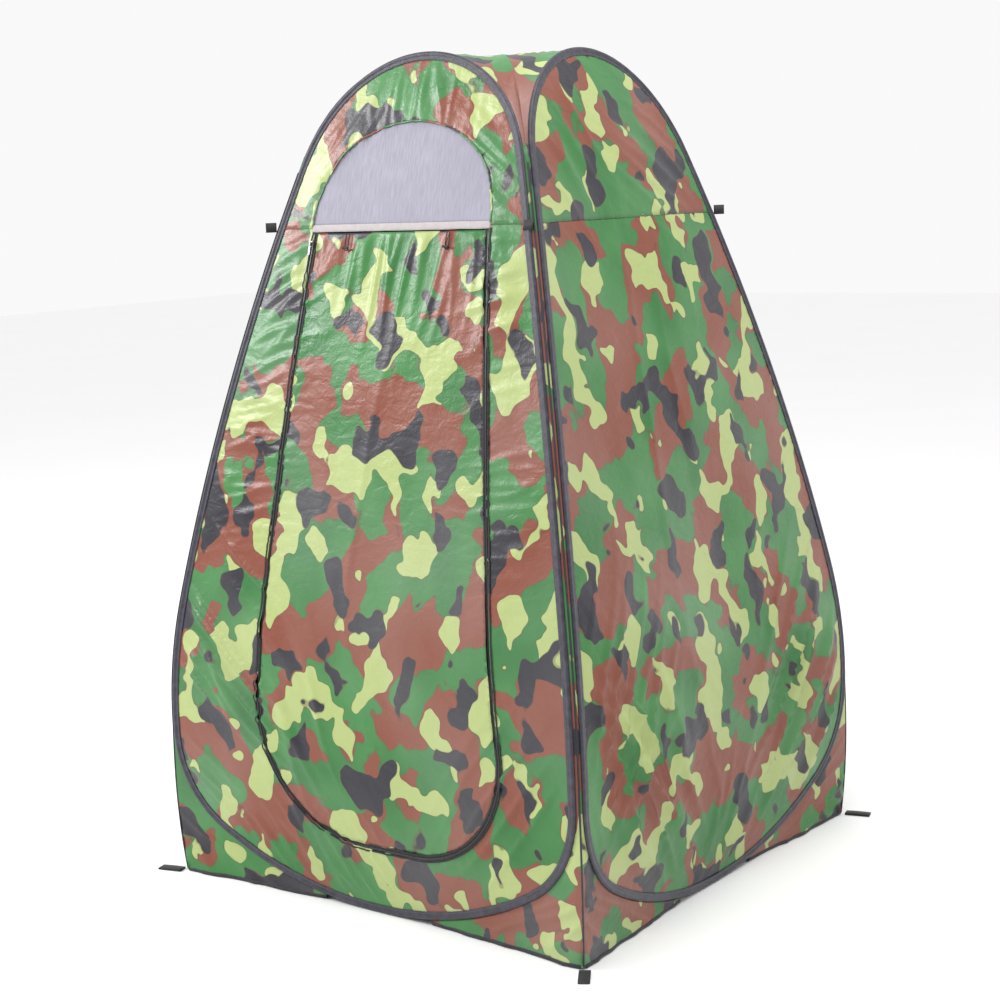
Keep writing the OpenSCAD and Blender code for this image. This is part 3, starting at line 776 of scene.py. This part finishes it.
def make_zip():
    """The two tapes, the fold of cloth sewn along the outer one, and the coil."""
    line = door_line(0.0, STEP)
    front = RELIEF["front"]
    outer_section = flat_section(0.0003, 0.0099, -0.0006, 0.0008)
    inner_section = flat_section(-0.0053, -0.0002, -0.0006, 0.0008)
    fold_section = flat_section(0.0080, 0.0120, 0.0010, 0.0022)
    outer = ribbon("zip_tape_outside", line, outer_section, TAPE, "front_side")
    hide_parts("zip_outer_tape")
    inner = ribbon("zip_tape_inside", line, inner_section, TAPE, "door")
    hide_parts("zip_inner_tape")
    fold = ribbon("zip_seam_fold", line, fold_section, TAPE, "front_side", front)
    make_coil()


def make_coil():
    """The zip's chain: every other ring is a tooth's width narrower, which leaves teeth."""
    fine = door_line(0.0, 0.00075)[8:-8]
    rings = []
    for i, ((x, z), n) in enumerate(zip(fine, normals_of(fine))):
        tooth = 0.0004 if i % 2 else 0.0
        low, high = CHAIN_MID - CHAIN_HALF + tooth, CHAIN_MID + CHAIN_HALF - tooth
        section = [(low, 0.0008), (low, 0.0017 - tooth), (low + 0.0008, 0.0022 - tooth),
                   (CHAIN_MID, 0.0019 - tooth), (high - 0.0008, 0.0022 - tooth),
                   (high, 0.0017 - tooth), (high, 0.0008)]
        rings.append([on_front(x + n[0] * u, z + n[1] * u, v) for u, v in section])
    coil = swept("zip_coil", rings, COIL, "front_side")
    stand_in("zip_chain")


def make_window():
    """The half-round net and the turned edge round it."""
    lap = 0.006
    outline = window_line(-lap, STEP)
    outline += fine_edge((-WINDOW_HALF - lap, SILL_TOP - lap), (WINDOW_HALF + lap, SILL_TOP - lap))[1:]
    edge = kd_of(window_line(0.0, STEP))
    flat, faces = filled(outline, 0.008)
    points = []
    for x, z in flat:
        tied = exp(-edge.find((x, z, 0))[2] / 0.035)
        own = 0.002 * ripple(x * 6, z * 4, 2.2) * (1 - tied)
        points.append(on_front(x, z, -0.0012 + own + tied * RELIEF["front"].at(x, z)))
    triangles, uvs = [tuple(f) for f in faces], [tuple(p) for p in flat]
    net = new_piece("window_net", points, triangles, NET, "front_side", uvs)
    thicken(net, 0.0004)
    net.modifiers["back"].material_offset = 0
    stand_in("window_mesh")
    rim = ribbon("window_edge", window_line(-0.0035, 0.005), flat_section(-0.0028, 0.0012, 0.0002, 0.0018),
                 CAMO, "front_side", RELIEF["front"], wobble=0.0004)


def make_sill_band():
    """The white band under the window, a little uneven along its length."""
    reach = WINDOW_HALF + 0.004
    section = [(SILL_BOTTOM, -0.001), (SILL_BOTTOM, 0.0012), (SILL_BOTTOM + 0.003, 0.0021), (1.520, 0.0019),
               (SILL_TOP - 0.003, 0.0022), (SILL_TOP, 0.0013), (SILL_TOP, -0.001)]
    rings = []
    for x in np.linspace(-reach, reach, 100):
        up = 0.0005 * ripple(x * 25, 0, 5.5)
        out = 0.0005 * ripple(x * 40, 0, 8.5)
        rings.append([on_front(x, z + up, v + (out if v > 0 else 0)) for z, v in section])
    across = [0, 0.002, 0.005, 0.010, 0.015, 0.018, 0.02]
    band = swept("sill_band", rings, BAND, "front_side", across=across)
    stand_in("window_sill_band")


# ---- Corners: gussets, hems, tabs and peg loops ----

FLARE, GUSSET_LOW, GUSSET_TOP = 0.031, 0.013, 1.684
# Each corner: its turn from the front right one, and the bodies on its two sides
CORNERS = {
    "front_right": (0.0, "front_side", "right_side"),
    "back_right": (0.5 * pi, "right_side", "back_side"),
    "front_left": (1.5 * pi, "left_side", "front_side"),
}
# The opened corner's two halves: turn, body, and -1 where the half is mirrored
HALF_CORNERS = {"on_back": (pi, "back_side", 1), "on_left": (1.5 * pi, "left_side", -1)}


def seam_half(z):
    """Distance of the corner seam from the tent's middle at height z, along X and along Y."""
    flare = FLARE * (1 - z / BELLY_Z) ** 1.5 if z < BELLY_Z else 0.0
    return half_at(z) - 0.003 + flare


def corner_point(t, z, out, seed):
    """A point of the front right gusset: t from -1 at the front hoop, through 0 at the corner seam, to 1."""
    start, c = hoop_half(max(z, GUSSET_LOW) + 0.0015) - 0.003, seam_half(z)
    depth = half_at(z) - 0.001
    wide = max(0.0, c - start)
    free = min(1.0, wide / 0.15) * (1 - abs(t)) ** 0.5 * min(1.0, abs(t) * wide / 0.02 + 0.15)
    sag = 0.010 * ripple(t * wide * 7, z * 4, seed)
    sag += 0.008 * crease(z + 0.5 * abs(t) * wide, abs(t) * wide, 0.05, 0.22, seed + 2)
    sag += 0.0022 * ripple(t * wide * 24, z * 20, seed + 5)
    x, y = start + (1 - abs(t)) * wide, -depth + (1 - abs(t)) * (depth - c) - out - sag * free
    return Vector((x, y, z)) if t <= 0 else Vector((-y, -x, z))


def gusset_mesh(name, turn, t_high, mirror, print_shift, seed):
    """A gusset from its first hoop, at -1, to t_high: finely divided where it's wide."""
    columns = 28 * (t_high + 1)
    low_heights, high_heights = np.arange(0.0015, 0.40, 0.009), np.arange(0.40, GUSSET_TOP, 0.035)
    heights = [*low_heights, *high_heights, GUSSET_TOP]
    spin = Matrix.Rotation(turn, 3, "Z")
    points, uvs = [], []
    for z in heights:
        wide = max(0.02, seam_half(z) - hoop_half(max(z, GUSSET_LOW)))
        for j in range(columns + 1):
            t = (t_high + 1) * j / columns - 1
            p = corner_point(t, z, 0.0, seed)
            points.append(spin @ Vector((mirror * p.x, p.y, p.z)))
            uvs.append((t * wide + print_shift[0], z + print_shift[1]))
    row = columns + 1
    faces = [(i * row + j, i * row + j + 1, (i + 1) * row + j + 1, (i + 1) * row + j)
             for i in range(len(heights) - 1) for j in range(columns)]
    if mirror < 0:
        faces = [f[::-1] for f in faces]
    piece = new_piece(name, points, faces, [CAMO, BACK], None, uvs)
    thicken(piece, CLOTH_T)
    settle(piece)
    return piece


def settle(piece):
    """Makes a piece's modifiers final."""
    graph = bpy.context.evaluated_depsgraph_get()
    mesh = bpy.data.meshes.new_from_object(piece.evaluated_get(graph))
    piece.modifiers.clear()
    piece.data = mesh


def hem_rings(turn, t_high, mirror, seed):
    """The tape bound over a gusset's bottom edge, as rings along it."""
    spin = Matrix.Rotation(turn, 3, "Z")
    section = [(-0.0011, 0.0012), (0.0012, 0.0008), (0.0019, 0.003),
               (0.0017, 0.0078), (0.0004, 0.0088), (-0.0011, 0.0078)]
    rings = []
    for t in np.linspace(-1, t_high, 60):
        up = max(0, 0.0008 * ripple(t * 9, 0, seed))
        ring = []
        for out, z in section:
            p = corner_point(t, 0.004, out, seed)
            ring.append(spin @ Vector((mirror * p.x, p.y, z + up)))
        rings.append(ring)
    return rings if mirror > 0 else [ring[::-1] for ring in rings]


def corner_cloth(ending, node_ending, turn, t_high, mirror, print_shift, seed):
    """A corner's gusset and its hem, which don't ride a body yet."""
    gusset = gusset_mesh("gusset_cloth_" + ending, turn, t_high, mirror, print_shift, seed)
    hem = swept("hem_binding_" + ending, hem_rings(turn, t_high, mirror, seed), HEM, None)
    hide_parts("gusset_" + node_ending)
    stand_in("hem_" + node_ending)
    return gusset, hem


def make_corners():
    """The three whole corners, which stretch between their two sides, and the opened one in halves."""
    for i, (name, (turn, *bodies)) in enumerate(CORNERS.items()):
        pieces = corner_cloth(name, name, turn, 1, 1, (4.1 + 1.7 * i, 6.2), 21.0 + 3 * i)
        seam = swept("corner_seam_" + name, seam_rings(turn), HEM, None)
        for one in pieces:
            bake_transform(one)
        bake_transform(seam)
    for i, (name, (turn, body, mirror)) in enumerate(HALF_CORNERS.items()):
        ending, print_shift = "half_" + name, (9.3 + 1.3 * i, 2.2)
        for one in corner_cloth(ending, "back_left_" + ending, turn, 0, mirror, print_shift, 40.0):
            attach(one, body)


def seam_rings(turn):
    """The narrow bound seam that runs up a gusset's corner."""
    spin = Matrix.Rotation(turn, 3, "Z")
    section = ((-0.0024, -0.0008), (0.0006, -0.0014), (0.0014, -0.0006), (0.0008, 0.0024), (-0.001, 0.001))
    rings = []
    for z in np.arange(0.004, 1.66, 0.012):
        c = seam_half(z)
        rings.append([spin @ Vector((c + a, -c + b, z)) for a, b in section])
    return rings


def strap(name, node, place, length, width, thickness, body):
    """A folded strap of webbing along its own +X, lying on its own XY plane."""
    half = 0.5 * thickness
    turn_x = length - half
    bend = 0.5 * half
    path = [(x, bend) for x in np.linspace(0, turn_x, 8)]
    path += [(turn_x + bend * sin(a), half - bend * cos(a)) for a in np.linspace(0.3, pi, 6)]
    for f in np.linspace(0.1, 1, 8):
        path.append((turn_x * (1 - f), 1.5 * half + 0.25 * half * sin(pi * f)))
    edges = ((-1, -0.5 * width), (-1, 0.5 * width), (1, 0.5 * width), (1, -0.5 * width))
    rings = []
    for i, (x, h) in enumerate(path):
        a, b = path[max(0, i - 1)], path[min(len(path) - 1, i + 1)]
        way = Vector((b[0] - a[0], b[1] - a[1])).normalized()
        n = Vector((-way.y, way.x)) * 0.42 * half
        rings.append([place @ Vector((x + s * n.x, y, h + s * n.y)) for s, y in edges])
    piece = swept(name, rings, WEBBING, body, across=[0, width, width + 0.001, 2 * width])
    stand_in(node)


def turned(degrees, axis="Z"):
    return Matrix.Rotation(radians(degrees), 4, axis)


def make_peg_loops():
    reach = seam_half(0) + 0.009
    pegs = {"front_right": (1, -1, -58, "front_side"), "back_right": (1, 1, 15, "right_side"),
            "back_left": (-1, 1, 122, "left_side"), "front_left": (-1, -1, 195, "front_side")}
    for name, (x, y, yaw, body) in pegs.items():
        place = Matrix.Translation((x * reach, y * reach, 0)) @ turned(yaw)
        strap("peg_strap_" + name, "peg_loop_" + name, place, 0.062, 0.025, 0.0042, body)


def make_tabs():
    """Two tabs stand out square to their corner, and two lie along the front and back."""
    c = seam_half(SEAM_Z - 0.011) + 0.0006
    for name, turn, body in (("back_right", 90, "right_side"), ("front_left", 270, "front_side")):
        place = turned(turn) @ Matrix.Translation((c, -c, SEAM_Z)) @ turned(-45) @ turned(90, "X")
        place = place @ Matrix.Translation((0, 0, -0.0014))
        strap("tab_strap_" + name, "corner_tab_" + name, place, 0.025, 0.022, 0.0028, body)
    z = SEAM_Z - 0.008
    for name, turn, body in (("front_right", 0, "front_side"), ("back_left", 180, "back_side")):
        place = turned(turn) @ Matrix.Translation(on_front(half_at(SEAM_Z), z, 0.005))
        place = place @ Matrix.Rotation(-atan(lean_at(z)), 4, "X") @ turned(180, "Y") @ turned(-90, "X")
        strap("tab_strap_" + name, "corner_tab_" + name, place, 0.024, 0.022, 0.0028, body)


# ---- Roof ----

# Each gore's squash toward its own hoop as the ring folds: axis, anchor and joint, which make_roof reads but
# does not apply
ROOF_SQUASHES = {
    "front": ((0, 1, 0), (0, -0.25, 1.8), "right_fold"),
    "right": ((1, 0, 0), (0.25, 0, 1.8), "right_fold"),
    "back": ((0, 1, 0), (0, 0.25, 1.8), "back_fold"),
    "left": ((1, 0, 0), (-0.25, 0, 1.8), "left_fold"),
}


def gore_line(x, rows, seed):
    """A line of the front's gore from its hoop to the roof's diagonal, at x."""
    reach = TOP_R * cos(TOP_LEAN)
    drop = ROOF_TOP - TOP_JOIN_Z
    hoop_z = TOP_CENTRE_Z + sqrt((TOP_R - 0.004) ** 2 - x * x)
    hoop_y = -half_at(hoop_z) + 0.001
    mid_y = max(-abs(x) - 0.0002, hoop_y + 0.002)
    mid_z = min(ROOF_TOP - drop * min(1, abs(x) / reach) ** 4.5, hoop_z + 0.06)
    line = []
    for b in range(rows + 1):
        f = b / rows
        y, z = hoop_y + (mid_y - hoop_y) * f, hoop_z + (mid_z - hoop_z) * f
        free = sin(pi * f) ** 0.6
        z += free * (0.005 * ripple(x * 6, y * 6, seed) - 0.004)
        z += free * 0.004 * crease(x + 0.3 * y, y, 0.05, 0.2, seed + 4)
        line.append(Vector((x, y, z)))
    return line


def make_roof():
    half = TOP_R * cos(TOP_LEAN) - 0.003
    columns, rows = 72, 26
    row = rows + 1
    faces = [(c * row + r, (c + 1) * row + r, (c + 1) * row + r + 1, c * row + r + 1)
             for c in range(columns) for r in range(rows)]
    for i, (side, (axis, anchor, joint)) in enumerate(ROOF_SQUASHES.items()):
        spin = Matrix.Rotation(SIDES[side], 3, "Z")
        across = [half * sin(0.5 * pi * (2 * a / columns - 1)) for a in range(columns + 1)]
        flat = [p for x in across for p in gore_line(x, rows, 50.0 + i)]
        uvs = [(p.x + 13.0 + 1.1 * i, p.y + 2.0) for p in flat]
        points = [spin @ p for p in flat]
        gore = new_piece(side + "_roof_cloth", points, faces, [CAMO, BACK], BODIES[side], uvs)
        thicken(gore, CLOTH_T)
        settle(gore)
        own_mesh(gore)
        stand_in(side + "_roof_gore")


# ---- Ties ----

TIE_CORD_R = 0.00115
TOGGLE_PROFILE = [(-0.0090, 0.0010), (-0.0088, 0.0020), (-0.0080, 0.0026), (-0.0030, 0.0025),
                  (-0.0022, 0.0020), (0.0022, 0.0020), (0.0030, 0.0025), (0.0080, 0.0026),
                  (0.0088, 0.0020), (0.0090, 0.0010)]


def circle(count):
    return np.linspace(0, 2 * pi, count, False)


def tie_line():
    """The hanging loop, seen from the front, from one sewn end round to the other."""
    half, drop = 0.0046, 0.0325
    line = [(-0.4 * half, 0.0022)] + [(-half, -drop * f) for f in np.linspace(0.12, 1, 9)]
    line += [(-half * cos(a), -drop - half * sin(a)) for a in np.linspace(0.3, pi, 8)]
    line += [(half, -drop * f) for f in np.linspace(0.9, 0.12, 8)] + [(0.4 * half, 0.0022)]
    return resampled(line, 0.0016)


def make_ties():
    for side, x in TIE_XS.items():
        body = "tie_" + side
        lean = Matrix.Rotation(-atan(lean_at(TIE_Z)), 4, "X")
        lean = Matrix.Translation(on_front(x, TIE_Z, TIE_OUT)) @ lean
        path = [lean @ Vector((u, 0, w)) for u, w in tie_line()]
        loop = tube("tie_cord_" + side, path, TIE_CORD_R, ELASTIC, body)
        stand_in("tie_loop_" + side)
        spot = lean @ Matrix.Translation((0, -0.0039, -0.032)) @ turned(90, "Y")
        rings = [[spot @ Vector((r * cos(a), r * sin(a), h)) for a in circle(24)]
                 for h, r in TOGGLE_PROFILE]
        toggle = swept("tie_bar_" + side, rings, PLASTIC, body)
        stand_in("tie_toggle_" + side)


def tube(name, path, radius, material, body):
    """A round tube along a path of points."""
    rings, up = [], Vector((0, 1, 0))
    for i, p in enumerate(path):
        way = (path[min(len(path) - 1, i + 1)] - path[max(0, i - 1)]).normalized()
        one = up.cross(way).normalized()
        two = way.cross(one)
        rings.append([p + radius * (cos(a) * one + sin(a) * two) for a in circle(12)])
    return swept(name, rings, material, body)


make_sleeves()
make_zip()
make_window()
make_sill_band()
make_corners()
make_peg_loops()
make_tabs()
make_roof()
make_ties()

METAL_NODES = {"_hoop_wire": STEEL, "_wire_ferrule": STEEL, "zip_slider": ENAMEL, "zip_pull": ENAMEL}
for node_name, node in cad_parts.items():
    for ending, metal in METAL_NODES.items():
        if node_name.endswith(ending):
            node.data.materials.clear()
            node.data.materials.append(metal)


# ---- Camera, floor and light ----

def make_camera():
    """Stands where the photo was taken from, as fitted: angles in radians."""
    yaw, pitch, roll = 0.646775, 0.160634, -0.038734
    place = Matrix.Translation((2.7565, -3.6875, 1.6017))
    back = Vector((sin(yaw) * cos(pitch), -cos(yaw) * cos(pitch), sin(pitch)))
    level = (-back).cross(Vector((0, 0, 1))).normalized()
    upright = level.cross(-back)
    right = cos(roll) * level + sin(roll) * upright
    up = -sin(roll) * level + cos(roll) * upright
    data = bpy.data.cameras.new("camera")
    data.lens, data.sensor_width = 69.87, 36.0
    camera = bpy.data.objects.new("camera", data)
    camera.matrix_world = place @ Matrix((right, up, back)).transposed().to_4x4()
    bpy.context.scene.collection.objects.link(camera)
    bpy.context.scene.camera = camera


def area_light(name, place, target, size, power):
    data = bpy.data.lights.new(name, "AREA")
    data.shape, data.size, data.energy = "DISK", size, power
    lamp = bpy.data.objects.new(name, data)
    lamp.location = place
    lamp.rotation_euler = (Vector(target) - Vector(place)).to_track_quat("-Z", "Y").to_euler()
    bpy.context.scene.collection.objects.link(lamp)


def make_studio():
    s = Shader("studio_floor", 0.85, 0.1)
    cloud = s.noise(s.place(), 1.5, 2.0)
    paper = s.finish(s.mix(cloud, linear(249, 249, 249), linear(252, 252, 252)))
    half, under = 20, -0.001
    corners = [(-half, -half, under), (half, -half, under), (half, half, under), (-half, half, under)]
    floor = new_piece("studio_floor", corners, [(0, 1, 2, 3)], paper, None, smooth=False)
    world = bpy.data.worlds.new("studio")
    world.use_nodes = True
    sky = world.node_tree.nodes["Background"]
    sky.inputs["Color"].default_value = (1.0, 1.0, 1.0, 1.0)
    sky.inputs["Strength"].default_value = 0.95
    bpy.context.scene.world = world
    bpy.context.scene.view_settings.view_transform = "Standard"
    area_light("key", (-4.0, -3.0, 3.4), (0, 0, 0.8), 1.6, 172)
    area_light("high_right", (1.4, 0.2, 3.7), (0.35, 0, 1.5), 0.8, 25)
    area_light("low_side", (3.2, 4.6, 1.2), (0.3, 0, 0.5), 2.0, 8)
    area_light("top", (0.5, -1.0, 5.0), (0, 0, 1.2), 3.0, 75)


make_camera()
make_studio()
